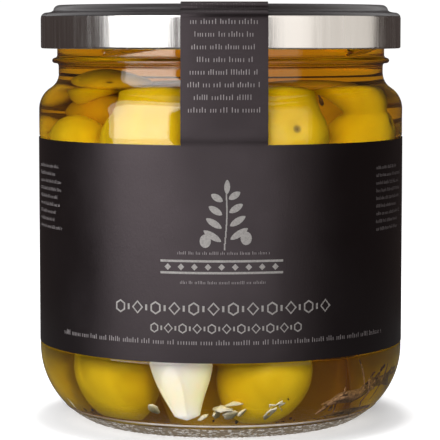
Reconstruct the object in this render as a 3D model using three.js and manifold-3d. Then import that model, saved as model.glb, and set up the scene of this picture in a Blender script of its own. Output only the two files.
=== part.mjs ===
// A sealed glass jar of green olives and a garlic clove in oil, with a twist-off lid and a paper label.
// Millimetres, +Z up, front towards -Y. The jar stands on z = 0 with its axis on the Z axis.

import * as THREE from "three";
import { mergeVertices } from "three/addons/utils/BufferGeometryUtils.js";
import Module from "manifold-3d";

const wasm = await Module();
wasm.setup();

// Clearance between pieces that touch, and between paper and what it covers.
const GAP = 0.3;
const PAPER_GAP = 0.25;

// Glass jar, outside.
const BODY_R = 43.0;
const FOOT_OUTER_R = 30.9;
const FOOT_INNER_R = 27.5;
const PUNT_RISE = 1.8;
const HEEL_R = 19.0;
const HEEL_TOP_Z = 17.5;
const HEEL_START = 65;
const LABEL_PANEL_DEPTH = 0.4;
const SHOULDER_Z = 73.6;
const SHOULDER_R = 5.9;
const SHOULDER_SWEEP = 58;
const NECK_R = 38.35;
const NECK_FILLET_R = 4.0;
const BEAD_Z = 85.07;
const BEAD_HALF = 0.6;
const BEAD_BLEND = 0.3;
const BEAD_R = 39.86;
const FINISH_R = 38.67;
const MOUTH_Z = 94.6;
const MOUTH_ROUND = 0.8;

// Glass jar, inside.
const WALL = 2.7;
const FLOOR_Z = 4.6;
const FLOOR_RISE = 0.6;
const INNER_HEEL_R = 13.0;

// Twist-off lid.
const LID_R = 42.5;
const LID_WALL = 1.0;
const LID_BOTTOM_Z = 87.8;
const LID_CORNER_R = 1.4;
const LID_LEDGE_Z = 96.15;
const LID_LEDGE_SLOPE = 0.2;
const LID_CURL = 0.7;
const LID_CURL_HEIGHT = 0.8;
const LID_CHAMFER = 0.5;
const RING_OUTER_R = 39.5;
const RING_INNER_R = 35.2;
const RING_TOP_Z = 97.9;
const RING_SLOPE = 0.3;
const RING_INNER_SLOPE = 1.0;
const PANEL_Z = 97.0;
const BUTTON_R = 14.0;
const BUTTON_DROP = 0.4;
const BUTTON_SLOPE = 1.2;
const PANEL_UNDER_Z = 95.8;
const SEAL_Z = 94.9;
const SEAL_MARGIN = 0.8;

// Paper label with its seal strip over the lid.
const PAPER = 0.25;
const LABEL_BOTTOM_Z = 18.9;
const LABEL_TOP_Z = 67.0;
const LABEL_BACK_GAP = 9.0;
const STRIP_WIDTH = 19.2;
const STRIP_OFFSET = 0.8;
const STRIP_END = 22.0;
const STRIP_OVERLAP = 4.0;
const STRIP_PANEL_SLOPE = 3.0;
const CUT_MARGIN = 1.0;

// Contents.
const OIL_LEVEL_Z = 92.0;
const OLIVE_R = 9.1;
const OLIVE_LENGTH = 20.4;
const RING_RADIUS = 29.2;
const CORE_R = 26.5;
const CORE_TOP_Z = 71.0;
const CORE_ROUND = 4.0;
const CROWN_RADIUS = 13.0;
const CROWN_Z = 71.5;
const OLIVE_SIDES = 7;
const OLIVE_ROWS = 5;
const GARLIC_LENGTH = 23.0;
const GARLIC_WIDTH = 13.4;
const GARLIC_DEPTH = 9.0;
const GARLIC_BOTTOM_Z = 7.0;
const GARLIC_FOOT_R = 30.2;
const GARLIC_LEAN = 8;
const GARLIC_AZIMUTH = -13.5;
const GARLIC_ROOT = 0.25;
const GARLIC_TOP_SHIFT = 1.6;
const GARLIC_BLUNTNESS = 0.75;

const ROUND_SEGMENTS = 32;
const CORE_SEGMENTS = 10;
const GARLIC_SEGMENTS = 12;
const GARLIC_STEPS = 7;
const ARC_STEPS = 3;

// ---- outlines -------------------------------------------------------------------------------------

function point(r, z) {
  return new THREE.Vector2(r, z);
}

// Points of an arc in the half plane of radius and height, angles in degrees from straight outwards.
function arc(centreR, centreZ, radius, from, to, steps = ARC_STEPS) {
  const points = [];
  for (let i = 0; i <= steps; i++) {
    const angle = THREE.MathUtils.degToRad(from + ((to - from) * i) / steps);
    points.push(point(centreR + radius * Math.cos(angle), centreZ + radius * Math.sin(angle)));
  }
  return points;
}

// Points of a flat-based dome from the axis out to a rim.
function dome(rimR, rimZ, rise, steps = 2) {
  const points = [];
  for (let i = 0; i <= steps; i++) {
    const t = i / steps;
    points.push(point(rimR * t, rimZ + rise * (1 - t * t)));
  }
  return points;
}

function lathe(outline, segments = ROUND_SEGMENTS) {
  const geometry = new THREE.LatheGeometry(outline, segments);
  geometry.rotateX(Math.PI / 2);
  return geometry;
}

// ---- joins and cuts -------------------------------------------------------------------------------

function toSolid(geometry) {
  const bare = geometry.clone();
  bare.deleteAttribute("normal");
  bare.deleteAttribute("uv");
  const merged = mergeVertices(bare, 1e-4);
  return new wasm.Manifold(
    new wasm.Mesh({
      numProp: 3,
      vertProperties: merged.attributes.position.array,
      triVerts: new Uint32Array(merged.index.array),
    }),
  );
}

function toGeometry(solid) {
  const mesh = solid.getMesh();
  const geometry = new THREE.BufferGeometry();
  geometry.setAttribute("position", new THREE.BufferAttribute(mesh.vertProperties, 3));
  geometry.setIndex(new THREE.BufferAttribute(mesh.triVerts, 1));
  geometry.computeVertexNormals();
  return geometry;
}

// The largest body, without the crumbs and closed pockets that a cut leaves.
function mainBody(solid) {
  return solid.decompose().sort((a, b) => b.volume() - a.volume())[0];
}

function joinAll(solids) {
  return solids.reduce((joined, solid) => joined.add(solid));
}

function blockSolid(width, depth, height, x, y, z) {
  const geometry = new THREE.BoxGeometry(width, depth, height);
  geometry.translate(x, y, z);
  return toSolid(geometry);
}

// ---- glass jar ------------------------------------------------------------------------------------

function jarOutside() {
  const panelR = BODY_R - LABEL_PANEL_DEPTH;
  const panelLow = LABEL_BOTTOM_Z - LABEL_PANEL_DEPTH;
  const panelHigh = LABEL_TOP_Z + LABEL_PANEL_DEPTH;
  const beadCentreR = BEAD_R - BEAD_HALF;
  return [
    ...dome(FOOT_INNER_R, 0, PUNT_RISE),
    point(FOOT_OUTER_R, 0),
    ...arc(BODY_R - HEEL_R, HEEL_TOP_Z, HEEL_R, -HEEL_START, 0, 6),
    point(BODY_R, panelLow),
    point(panelR, panelLow + LABEL_PANEL_DEPTH / 2),
    point(panelR, panelHigh - LABEL_PANEL_DEPTH / 2),
    point(BODY_R, panelHigh),
    ...arc(BODY_R - SHOULDER_R, SHOULDER_Z, SHOULDER_R, 0, SHOULDER_SWEEP),
    ...neckFillet(NECK_R, NECK_FILLET_R).slice(1),
    point(NECK_R, BEAD_Z - BEAD_HALF - BEAD_BLEND),
    ...arc(beadCentreR, BEAD_Z, BEAD_HALF, -90, 90),
    point(FINISH_R, BEAD_Z + BEAD_HALF + BEAD_BLEND),
    ...arc(FINISH_R - MOUTH_ROUND, MOUTH_Z - MOUTH_ROUND, MOUTH_ROUND, 0, 90, 2),
  ];
}

// The hollow curve from the shoulder up into the neck, for the outside or the inside of the wall.
function neckFillet(neckR, filletR) {
  const foot = neckFootZ();
  return arc(neckR + filletR, foot, filletR, 180 + SHOULDER_SWEEP, 180, 2);
}

// Height at which the neck becomes straight, where the two shoulder arcs meet at the same slope.
function neckFootZ() {
  const sweep = THREE.MathUtils.degToRad(SHOULDER_SWEEP);
  return SHOULDER_Z + (SHOULDER_R + NECK_FILLET_R) * Math.sin(sweep);
}

// The inner surface from the axis of the floor up to the mouth, moved into the jar by inset.
function jarInside(inset, topZ) {
  const wallR = BODY_R - WALL - inset;
  const heelR = INNER_HEEL_R - inset;
  const shoulderR = SHOULDER_R - WALL - inset;
  const floorZ = FLOOR_Z + inset;
  return [
    ...dome(wallR - heelR, floorZ, FLOOR_RISE),
    ...arc(wallR - heelR, floorZ + heelR, heelR, -90, 0, 4).slice(1),
    ...arc(wallR - shoulderR, SHOULDER_Z, shoulderR, 0, SHOULDER_SWEEP, 2),
    ...neckFillet(NECK_R - WALL - inset, NECK_FILLET_R + WALL + inset).slice(1),
    point(NECK_R - WALL - inset, topZ),
  ];
}

function glassJar() {
  const innerRim = arc(NECK_R - WALL + MOUTH_ROUND, MOUTH_Z - MOUTH_ROUND, MOUTH_ROUND, 90, 180, 2);
  const inside = jarInside(0, MOUTH_Z - MOUTH_ROUND).slice(0, -1).reverse();
  return lathe([...jarOutside(), ...innerRim, ...inside]);
}

// ---- lid ------------------------------------------------------------------------------------------

// The outside of the lid from its bottom curl up over the corner and the raised ring, moved out by offset.
function lidOutside(offset) {
  const ringRound = RING_TOP_Z - LID_LEDGE_Z - RING_SLOPE;
  return [
    point(LID_R + offset, LID_BOTTOM_Z + LID_CHAMFER),
    ...arc(LID_R - LID_CORNER_R, LID_LEDGE_Z - LID_CORNER_R, LID_CORNER_R + offset, 0, 80),
    point(RING_OUTER_R + RING_SLOPE + offset, LID_LEDGE_Z + LID_LEDGE_SLOPE + offset),
    ...arc(RING_OUTER_R - ringRound, RING_TOP_Z - ringRound, ringRound + offset, 10, 90),
  ];
}

function lid() {
  const innerR = LID_R - LID_WALL;
  const curlR = innerR - LID_CURL;
  const plugR = NECK_R - WALL - SEAL_MARGIN;
  return lathe([
    point(curlR, LID_BOTTOM_Z),
    point(LID_R - LID_CHAMFER, LID_BOTTOM_Z),
    ...lidOutside(0),
    point(RING_INNER_R + RING_INNER_SLOPE, RING_TOP_Z),
    point(RING_INNER_R, PANEL_Z),
    point(BUTTON_R, PANEL_Z),
    point(BUTTON_R - BUTTON_SLOPE, PANEL_Z - BUTTON_DROP),
    point(0, PANEL_Z - BUTTON_DROP),
    point(0, PANEL_UNDER_Z),
    point(plugR, PANEL_UNDER_Z),
    point(plugR, SEAL_Z),
    point(FINISH_R + SEAL_MARGIN, SEAL_Z),
    point(innerR, SEAL_Z - SEAL_MARGIN),
    point(innerR, LID_BOTTOM_Z + LID_CURL_HEIGHT + LID_CURL / 2),
    point(curlR, LID_BOTTOM_Z + LID_CURL_HEIGHT),
    point(curlR, LID_BOTTOM_Z),
  ]);
}

// ---- label ----------------------------------------------------------------------------------------

// A closed outline of one paper thickness, laid on the outer side of an open path.
function paperOutline(path) {
  const outer = path.map((here, i) => {
    const before = path[Math.max(i - 1, 0)];
    const after = path[Math.min(i + 1, path.length - 1)];
    const along = after.clone().sub(before).normalize();
    return point(here.x + along.y * PAPER, here.y - along.x * PAPER);
  });
  return [...outer, ...[...path].reverse(), outer[0]];
}

// A wrap round the body, open at the back, in one piece with a strip up the front and over the lid.
function label() {
  const wrapR = BODY_R - LABEL_PANEL_DEPTH + PAPER_GAP;
  const wrap = toSolid(lathe(paperOutline([point(wrapR, LABEL_BOTTOM_Z), point(wrapR, LABEL_TOP_Z)])));
  const height = LABEL_TOP_Z - LABEL_BOTTOM_Z;
  const middleZ = (LABEL_TOP_Z + LABEL_BOTTOM_Z) / 2;
  const seam = blockSolid(LABEL_BACK_GAP, BODY_R, height + 2 * CUT_MARGIN, 0, BODY_R, middleZ);

  const stripPath = [
    point(wrapR, LABEL_TOP_Z - STRIP_OVERLAP),
    point(wrapR, LABEL_TOP_Z),
    point(BODY_R + PAPER_GAP, LABEL_TOP_Z + 2 * LABEL_PANEL_DEPTH),
    point(BODY_R + PAPER_GAP, SHOULDER_Z),
    ...lidOutside(PAPER_GAP),
    point(RING_INNER_R + RING_INNER_SLOPE, RING_TOP_Z + PAPER_GAP),
    point(RING_INNER_R - STRIP_PANEL_SLOPE, PANEL_Z + PAPER_GAP),
    point(STRIP_END - STRIP_WIDTH / 2, PANEL_Z + PAPER_GAP),
  ];
  const strip = toSolid(lathe(paperOutline(stripPath)));
  const reach = BODY_R + CUT_MARGIN - STRIP_END;
  const front = blockSolid(
    STRIP_WIDTH,
    reach,
    2 * height,
    STRIP_OFFSET,
    -STRIP_END - reach / 2,
    LABEL_TOP_Z - STRIP_OVERLAP - CUT_MARGIN + height,
  );
  return toGeometry(mainBody(wrap.subtract(seam).add(strip.intersect(front))));
}

// ---- contents -------------------------------------------------------------------------------------

// Places an upright geometry at an azimuth from the front, positive to the right.
function place(geometry, radius, azimuth, z) {
  geometry.translate(0, -radius, z);
  geometry.rotateZ(THREE.MathUtils.degToRad(azimuth));
  return geometry;
}

// One olive: a slightly long ellipsoid, tipped in the jar wall's plane and turned about the upright.
function olive(radius, azimuth, z, tip, grow) {
  const geometry = new THREE.SphereGeometry(1, OLIVE_SIDES, OLIVE_ROWS);
  geometry.scale(OLIVE_R + grow, OLIVE_R + grow, OLIVE_LENGTH / 2 + grow);
  geometry.rotateY(THREE.MathUtils.degToRad(tip));
  return place(geometry, radius, azimuth, z);
}

// Rings of outer olives, with the room that the clove takes. From the first azimuth on, the olives
// follow leftwards by the pitch, each a little higher and more tipped than the one before.
const OLIVE_RINGS = [
  { first: 17, count: 1, pitch: 0, z: 15.7, tip: 60 },
  { first: -44, count: 6, pitch: 40, z: 15.7, tip: 65 },
  { first: 2, count: 7, pitch: 51, z: 32.5, tip: 10 },
  { first: 28, count: 7, pitch: 51, z: 49.5, tip: 75 },
  { first: 25, count: 2, pitch: 51, z: 66.8, tip: 60 },
  { first: -66, count: 3, pitch: 40, z: 65.8, tip: 40 },
  { first: 148, count: 3, pitch: 40, z: 66.4, tip: 80 },
];
const RING_STEP_Z = 0.8;
const RING_STEP_TIP = 25;

// The top olives lie round the axis, a third of a turn apart, from lying to nearly upright.
const CROWN_COUNT = 3;
const CROWN_FIRST = 40;
const CROWN_STEP_TIP = 50;

function ringOlives(ring, grow) {
  const solids = [];
  for (let i = 0; i < ring.count; i++) {
    const z = ring.z + RING_STEP_Z * (i % 2);
    const tip = ring.tip + RING_STEP_TIP * (i % 3);
    solids.push(toSolid(olive(RING_RADIUS, ring.first - i * ring.pitch, z, tip, grow)));
  }
  return solids;
}

function crownOlives(grow) {
  const solids = [];
  for (let i = 0; i < CROWN_COUNT; i++) {
    const azimuth = (360 / CROWN_COUNT) * i + CROWN_FIRST;
    const tip = 90 - CROWN_STEP_TIP * i;
    solids.push(toSolid(olive(CROWN_RADIUS, azimuth, CROWN_Z + (i % 2), tip, grow)));
  }
  return solids;
}

function oliveHeap(grow) {
  const baseZ = grow > 0 ? FLOOR_Z - CUT_MARGIN : FLOOR_Z + FLOOR_RISE + GAP;
  const core = lathe(
    [
      point(0, baseZ),
      point(CORE_R - CORE_ROUND + grow, baseZ),
      point(CORE_R + grow, FLOOR_Z + CORE_ROUND),
      point(CORE_R + grow, CORE_TOP_Z - 2 * CORE_ROUND),
      ...dome(CORE_R - CORE_ROUND + grow, CORE_TOP_Z - CORE_ROUND, CORE_ROUND + grow).reverse(),
    ],
    CORE_SEGMENTS,
  );
  const rings = OLIVE_RINGS.flatMap((ring) => ringOlives(ring, grow));
  return joinAll([toSolid(core), ...rings, ...crownOlives(grow)]);
}

// A peeled clove: flat-sided, rounded at the top and narrowing to its root end below.
function garlicSolid(grow) {
  const steps = GARLIC_STEPS;
  const outline = [];
  for (let i = 0; i <= steps; i++) {
    const t = i / steps;
    const bulge = Math.pow(Math.sin(Math.PI * Math.pow(t, GARLIC_TOP_SHIFT)), GARLIC_BLUNTNESS);
    const root = i > 0 && i < steps ? GARLIC_ROOT * (1 - t) : 0;
    outline.push(point(bulge + root, t));
  }
  outline[0].x = 0;
  outline[steps].x = 0;
  const geometry = lathe(outline, GARLIC_SEGMENTS);
  geometry.scale(GARLIC_WIDTH / 2 + grow, GARLIC_DEPTH / 2 + grow, GARLIC_LENGTH + 2 * grow);
  geometry.translate(0, 0, -grow);
  geometry.rotateX(THREE.MathUtils.degToRad(GARLIC_LEAN));
  return toSolid(place(geometry, GARLIC_FOOT_R, GARLIC_AZIMUTH, GARLIC_BOTTOM_Z));
}

function olives() {
  return toGeometry(mainBody(mainBody(oliveHeap(0)).subtract(garlicSolid(GAP))));
}

function oil() {
  const outline = [...jarInside(GAP, OIL_LEVEL_Z), point(0, OIL_LEVEL_Z)];
  const hollow = mainBody(oliveHeap(GAP)).add(garlicSolid(GAP));
  return toGeometry(mainBody(toSolid(lathe(outline)).subtract(hollow)));
}

// ---- the jar as one group -------------------------------------------------------------------------

function piece(name, geometry, colour, roughness, metalness = 0, opacity = 1) {
  const material = new THREE.MeshStandardMaterial({ color: colour, roughness, metalness });
  material.transparent = opacity < 1;
  material.opacity = opacity;
  const mesh = new THREE.Mesh(geometry, material);
  mesh.name = name;
  return mesh;
}

const jar = new THREE.Group();
jar.name = "olive_jar";
jar.add(piece("glass_jar", glassJar(), 0xeef3ee, 0.05, 0, 0.3));
jar.add(piece("lid", lid(), 0xc9c6c0, 0.32, 0.9));
jar.add(piece("label", label(), 0x2f2a2c, 0.75));
jar.add(piece("oil", oil(), 0xc98a12, 0.05, 0, 0.6));
jar.add(piece("olives", olives(), 0xc2ab2e, 0.4));
jar.add(piece("garlic_clove", toGeometry(garlicSolid(0)), 0xefe4c8, 0.45));

export default jar;
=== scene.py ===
"""Looks for a sealed glass jar of green olives in oil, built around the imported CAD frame.

Lengths of the jar are in millimetres and MM turns them into metres. +Z is up and the front faces -Y.
Azimuths are in degrees from the front, positive to the right. The lights, the camera and the numbers in
materials are in metres.
"""

import random
from math import acos, ceil, cos, degrees, exp, hypot, pi, radians, sin, sqrt, tan

import bmesh
import bpy
import numpy as np
from mathutils import Euler, Matrix, Vector, noise


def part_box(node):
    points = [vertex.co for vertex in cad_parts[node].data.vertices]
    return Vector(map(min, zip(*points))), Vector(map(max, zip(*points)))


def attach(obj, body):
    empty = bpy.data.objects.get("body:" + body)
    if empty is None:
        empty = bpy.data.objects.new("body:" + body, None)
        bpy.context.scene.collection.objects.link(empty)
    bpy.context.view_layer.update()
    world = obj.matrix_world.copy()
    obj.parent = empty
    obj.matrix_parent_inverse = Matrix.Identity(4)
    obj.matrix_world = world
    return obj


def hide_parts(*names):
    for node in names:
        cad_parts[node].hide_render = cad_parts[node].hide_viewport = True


MM = 0.001

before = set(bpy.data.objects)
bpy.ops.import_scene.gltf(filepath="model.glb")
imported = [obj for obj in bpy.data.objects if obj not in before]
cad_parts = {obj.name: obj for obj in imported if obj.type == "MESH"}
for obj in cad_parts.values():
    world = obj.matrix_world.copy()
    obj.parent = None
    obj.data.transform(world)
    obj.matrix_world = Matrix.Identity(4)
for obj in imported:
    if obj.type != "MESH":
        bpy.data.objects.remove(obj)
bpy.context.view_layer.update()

# ---- measures ----


def packed(node, corner, axis):
    """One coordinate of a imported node's lowest (0) or highest (1) corner, in millimetres."""
    return round(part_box(node)[corner][axis] / MM, 2)


BODY_R = packed("glass_jar", 1, 0)
MOUTH_Z = packed("glass_jar", 1, 2)
OIL_LEVEL = packed("oil", 1, 2)
LID_R = packed("lid", 1, 0)
LABEL_LOW = packed("label", 0, 2)
LABEL_HIGH = 67.0
WALL = 2.7


# ---- mesh helpers ----


def arc(centre_r, centre_z, radius, start, stop, steps):
    """Points of an arc in the half plane of radius and height, angles in degrees from straight outwards."""
    angles = [radians(start + (stop - start) * i / steps) for i in range(steps + 1)]
    return [(centre_r + radius * cos(a), centre_z + radius * sin(a)) for a in angles]


def spread(low, high, count):
    return [low + (high - low) * i / count for i in range(count + 1)]


def at(azimuth, reach, z):
    """The point at that azimuth, that far from the jar's axis and that high."""
    a = radians(azimuth)
    return Vector((reach * sin(a), -reach * cos(a), z))


def normals(path):
    """Unit normals of a path of (radius, height), to the right of the way it runs."""
    out = []
    for i in range(len(path)):
        before, after = path[max(i - 1, 0)], path[min(i + 1, len(path) - 1)]
        dr, dz = after[0] - before[0], after[1] - before[1]
        size = hypot(dr, dz)
        out.append((dz / size, -dr / size))
    return out


def in_scene(name, data):
    thing = bpy.data.objects.new(name, data)
    bpy.context.scene.collection.objects.link(thing)
    return thing


def new_object(name, verts, faces, *materials):
    mesh = bpy.data.meshes.new(name)
    mesh.from_pydata([tuple(c * MM for c in v) for v in verts], [], faces)
    mesh.validate()
    mesh.update()
    mesh.shade_smooth()
    for material in materials:
        mesh.materials.append(material)
    return in_scene(name, mesh)


def closed_object(name, verts, faces, *materials):
    """An object of closed meshes, with every face turned outwards."""
    piece = new_object(name, verts, faces, *materials)
    bm = bmesh.new()
    bm.from_mesh(piece.data)
    bmesh.ops.recalc_face_normals(bm, faces=bm.faces)
    bm.to_mesh(piece.data)
    bm.free()
    return piece


def ring_faces(low, high):
    """Faces between two rings of vertex numbers. One of the rings may be a single pole."""
    sides = max(len(low), len(high))
    turns = [(i, (i + 1) % sides) for i in range(sides)]
    if len(low) == 1:
        return [(low[0], high[j], high[i]) for i, j in turns]
    if len(high) == 1:
        return [(low[i], low[j], high[0]) for i, j in turns]
    return [(low[i], low[j], high[j], high[i]) for i, j in turns]


def lathe(name, profile, segments, *materials, shape=None):
    """Turns a profile of (radius, height) about the jar's axis. A point on the axis becomes a pole, and a
    profile that doesn't end on the axis closes on itself. shape may move each point by its azimuth."""
    verts, rings, faces = [], [], []
    for r, z in profile:
        if r < 1e-6:
            rings.append([len(verts)])
            verts.append((0.0, 0.0, z))
            continue
        ring = []
        for i in range(segments):
            a = 2 * pi * i / segments
            rr, zz = shape(r, z, a) if shape else (r, z)
            ring.append(len(verts))
            verts.append((rr * sin(a), -rr * cos(a), zz))
        rings.append(ring)
    pairs = list(zip(rings, rings[1:]))
    if len(rings[0]) > 1 and len(rings[-1]) > 1:
        pairs.append((rings[-1], rings[0]))
    for low, high in pairs:
        faces += ring_faces(low, high)
    return closed_object(name, verts, faces, *materials)


def tube_faces(start, count, sides):
    """Faces of a tube with flat ends, whose rings of vertices follow each other from start on."""
    rings = [range(start + i * sides, start + (i + 1) * sides) for i in range(count)]
    faces = [face for low, high in zip(rings, rings[1:]) for face in ring_faces(low, high)]
    return faces + [tuple(rings[0])[::-1], tuple(rings[-1])]


def sharp_by_angle(piece, angle):
    piece.data.set_sharp_from_angle(angle=radians(angle))


# ---- material helpers ----


class Graph:
    """A short way to write a node material."""

    def __init__(self, name):
        self.material = bpy.data.materials.new(name)
        self.material.use_nodes = True
        self.tree = self.material.node_tree
        self.bsdf = self.tree.nodes["Principled BSDF"]
        self.output = self.tree.nodes["Material Output"]
        self.coords = self.add("ShaderNodeTexCoord").outputs["Object"]

    def add(self, kind, **values):
        node = self.tree.nodes.new(kind)
        for key, value in values.items():
            if hasattr(node, key):
                setattr(node, key, value)
            else:
                node.inputs[key.replace("_", " ")].default_value = value
        return node

    def link(self, source, target):
        self.tree.links.new(source, target)

    def set(self, **values):
        for key, value in values.items():
            self.bsdf.inputs[key.replace("_", " ")].default_value = value

    def scaled(self, scale):
        mapping = self.add("ShaderNodeMapping")
        mapping.inputs["Scale"].default_value = scale
        self.link(self.coords, mapping.inputs["Vector"])
        return mapping.outputs["Vector"]

    def noise(self, scale, detail=3.0, rough=0.55, vector=None):
        node = self.add("ShaderNodeTexNoise", Scale=scale, Detail=detail, Roughness=rough)
        self.link(vector or self.coords, node.inputs["Vector"])
        return node.outputs["Fac"]

    def voronoi(self, scale, vector=None):
        node = self.add("ShaderNodeTexVoronoi", Scale=scale)
        self.link(vector or self.coords, node.inputs["Vector"])
        return node.outputs["Distance"]

    def ramp(self, value, *stops, ease="LINEAR"):
        node = self.add("ShaderNodeValToRGB")
        node.color_ramp.interpolation = ease
        elements = node.color_ramp.elements
        while len(elements) < len(stops):
            elements.new(0.5)
        for element, (where, colour) in zip(elements, stops):
            element.position = where
            if not isinstance(colour, (tuple, list)):
                colour = (colour, colour, colour)
            element.color = (*colour[:3], 1.0)
        self.link(value, node.inputs["Fac"])
        return node.outputs["Color"]

    def mix(self, factor, a, b, mode="MIX"):
        node = self.add("ShaderNodeMix", data_type="RGBA", blend_type=mode)
        for socket, value in ((node.inputs[0], factor), (node.inputs[6], a), (node.inputs[7], b)):
            if hasattr(value, "is_output"):
                self.link(value, socket)
            elif socket.type == "RGBA":
                socket.default_value = (*value[:3], 1.0)
            else:
                socket.default_value = value
        return node.outputs[2]

    def math(self, operation, a, b=0.0):
        node = self.add("ShaderNodeMath", operation=operation)
        for socket, value in zip(node.inputs, (a, b)):
            if hasattr(value, "is_output"):
                self.link(value, socket)
            else:
                socket.default_value = value
        return node.outputs[0]

    def bump(self, height, strength, distance, after=None):
        node = self.add("ShaderNodeBump", Strength=strength, Distance=distance)
        self.link(height, node.inputs["Height"])
        if after:
            self.link(after, node.inputs["Normal"])
        return node.outputs["Normal"]

    def colour(self, source):
        self.link(source, self.bsdf.inputs["Base Color"])

    def rough(self, source):
        self.link(source, self.bsdf.inputs["Roughness"])

    def normal(self, source):
        self.link(source, self.bsdf.inputs["Normal"])


# ---- glass ----

PUNT_RISE = 1.8
FOOT_INNER_R = 27.5
# Round stretches of the wall: radius and height of the centre, then the radius of the arc.
HEEL = (24.0, 17.5, 19.0)
SHOULDER = (37.1, 73.6, 5.9)
SHOULDER_SWEEP = 58
PANEL_R = 42.78
NECK_R = 38.35
NECK_FOOT_Z, NECK_FILLET = 82.0, 4.0
BEAD_R, BEAD_Z, BEAD_ROUND = 39.26, 84.97, 0.6
FINISH_R = 38.67
RIM_ROUND = 0.8
FLOOR_Z, FLOOR_RISE, INNER_HEEL_R = 4.6, 0.6, 13.0
# The heel stands out a little where the mould's base plate met it.
BASE_LINE_Z, BASE_LINE_HALF, BASE_LINE_OUT = 3.72, 0.25, 0.12
STIPPLE_TOP_Z = 2.9
LUG_COUNT, LUG_FIRST, LUG_SPAN = 4, 47.0, 34.0
LUG_LOW_Z, LUG_RISE, LUG_OUT = 86.9, 3.4, 0.9
LUG_HALF, LUG_TAPER = 0.75, 2.5
KNURL_COUNT, KNURL_HEIGHT = 150, 0.16
GLASS_IOR = 1.5


def jar_wall():
    """The outside of the jar from the middle of the base up to the mouth."""
    points = [(FOOT_INNER_R * t, PUNT_RISE * (1 - t * t)) for t in (0.0, 0.2, 0.4, 0.6, 0.8, 0.92)]
    points += [(27.4, 0.1), (28.0, 0.0), (29.4, -0.0), (30.6, 0.0), (31.4, 0.12)]
    points += arc(*HEEL, -64, -47.4, 6)
    points += arc(HEEL[0], HEEL[1], HEEL[2] + BASE_LINE_OUT, -46.9, -45.7, 2)
    points += arc(*HEEL, -45.2, 0, 20)
    points += [(BODY_R, 18.4), (BODY_R - 0.03, 18.62), (PANEL_R + 0.05, 18.8), (PANEL_R, 18.95)]
    points += [(PANEL_R, z) for z in (25, 35, 45, 55, 62)]
    points += [(PANEL_R, LABEL_HIGH), (PANEL_R + 0.05, 67.2), (BODY_R - 0.02, 67.5), (BODY_R, 68.2)]
    points += [(BODY_R, 71.0)]
    points += arc(*SHOULDER, 0, SHOULDER_SWEEP, 14)
    points += arc(NECK_R + NECK_FILLET, NECK_FOOT_Z, NECK_FILLET, 180 + SHOULDER_SWEEP, 180, 12)[1:]
    points += [(NECK_R, 83.4), (NECK_R + 0.05, 83.95), (NECK_R + 0.3, 84.3)]
    points += arc(BEAD_R, BEAD_Z, BEAD_ROUND, -80, 80, 10)
    points += [(FINISH_R + 0.25, 85.7), (FINISH_R, 86.1), (FINISH_R, 86.5)]
    points += [(FINISH_R, 86.7 + 0.35 * i) for i in range(14)]
    points += [(FINISH_R, 92.5)] + arc(FINISH_R - RIM_ROUND, MOUTH_Z - RIM_ROUND, RIM_ROUND, 0, 90, 5)
    return points


def jar_hollow(inset, top_z):
    """The inside of the jar from the mouth down to the middle of its floor, moved inwards by inset."""
    wall_r = BODY_R - WALL - inset
    heel_r = INNER_HEEL_R - inset
    floor_z = FLOOR_Z + inset
    shoulder_r = SHOULDER[2] - WALL - inset
    neck_r = NECK_R - WALL - inset
    fillet = NECK_FILLET + WALL + inset
    floor_r = wall_r - heel_r
    points = [(floor_r * t, floor_z + FLOOR_RISE * (1 - t * t)) for t in (0.0, 0.2, 0.4, 0.6, 0.8, 0.93)]
    points += arc(floor_r, floor_z + heel_r, heel_r, -90, 0, 18)
    points += [(wall_r, z) for z in (25, 35, 45, 55, 65, 71)]
    points += arc(wall_r - shoulder_r, SHOULDER[1], shoulder_r, 0, SHOULDER_SWEEP, 10)
    points += arc(neck_r + fillet, NECK_FOOT_Z, fillet, 180 + SHOULDER_SWEEP, 180, 12)[1:]
    points += [(neck_r, z) for z in (84.0, 86.5, 89.0, top_z)]
    return points[::-1]


def glass_shape(r, z, a):
    """Thread lugs on the finish, knurls on the foot and the slight waviness of moulded glass."""
    azimuth = degrees(a)
    if r > FINISH_R - 0.01 and 86.4 < z < 92.6:
        for i in range(LUG_COUNT):
            along = (azimuth - LUG_FIRST - i * 360 / LUG_COUNT) % 360
            if along > LUG_SPAN:
                continue
            centre = LUG_LOW_Z + LUG_RISE * along / LUG_SPAN
            ends = min(1.0, along / LUG_TAPER, (LUG_SPAN - along) / LUG_TAPER)
            across = max(0.0, 1 - ((z - centre) / LUG_HALF) ** 2)
            r += LUG_OUT * sqrt(across) * ends
    elif z < 1.2 and 28.2 < r < 34.5:
        knurl = 0.5 + 0.5 * sin(azimuth * KNURL_COUNT * pi / 180)
        z += KNURL_HEIGHT * knurl * (1 if r > 29.0 else 0.4)
    elif 19.5 < z < 66 or 68.5 < z < 82:
        r += 0.03 * sin(3 * a + 0.11 * z) + 0.02 * sin(5 * a - 0.23 * z)
    return r, z


def clear_glass(name, dents, **gloss):
    """Clear moulded glass with faint waves, which are longer upwards than across."""
    g = Graph(name)
    g.set(Base_Color=(0.985, 0.992, 0.985, 1), Roughness=0.0, IOR=GLASS_IOR, **gloss)
    g.set(Transmission_Weight=1.0)
    wave = g.noise(55.0, 2.0, 0.4, g.scaled((1, 1, 0.35)))
    g.normal(g.bump(wave, dents, 0.002))
    return g.material


def foot_material():
    """The stippled foot: rough moulded glass whose raised dots are painted pale as highlights, on top of
    the light they really catch, with brown between them.
    """
    g = Graph("jar_glass_stipple")
    dots = g.voronoi(900.0, g.scaled((1, 1, 1.8)))
    # Painted highlights: pale cream on the tops of the raised dots, brown glass between them.
    g.colour(g.ramp(dots, (0.30, (1.0, 0.97, 0.92)), (0.50, (0.34, 0.27, 0.19))))
    g.rough(g.ramp(dots, (0.1, 0.18), (0.6, 0.5)))
    g.set(IOR=GLASS_IOR, Transmission_Weight=0.5)
    g.normal(g.bump(dots, 0.9, 0.0006))
    return g.material


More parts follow.
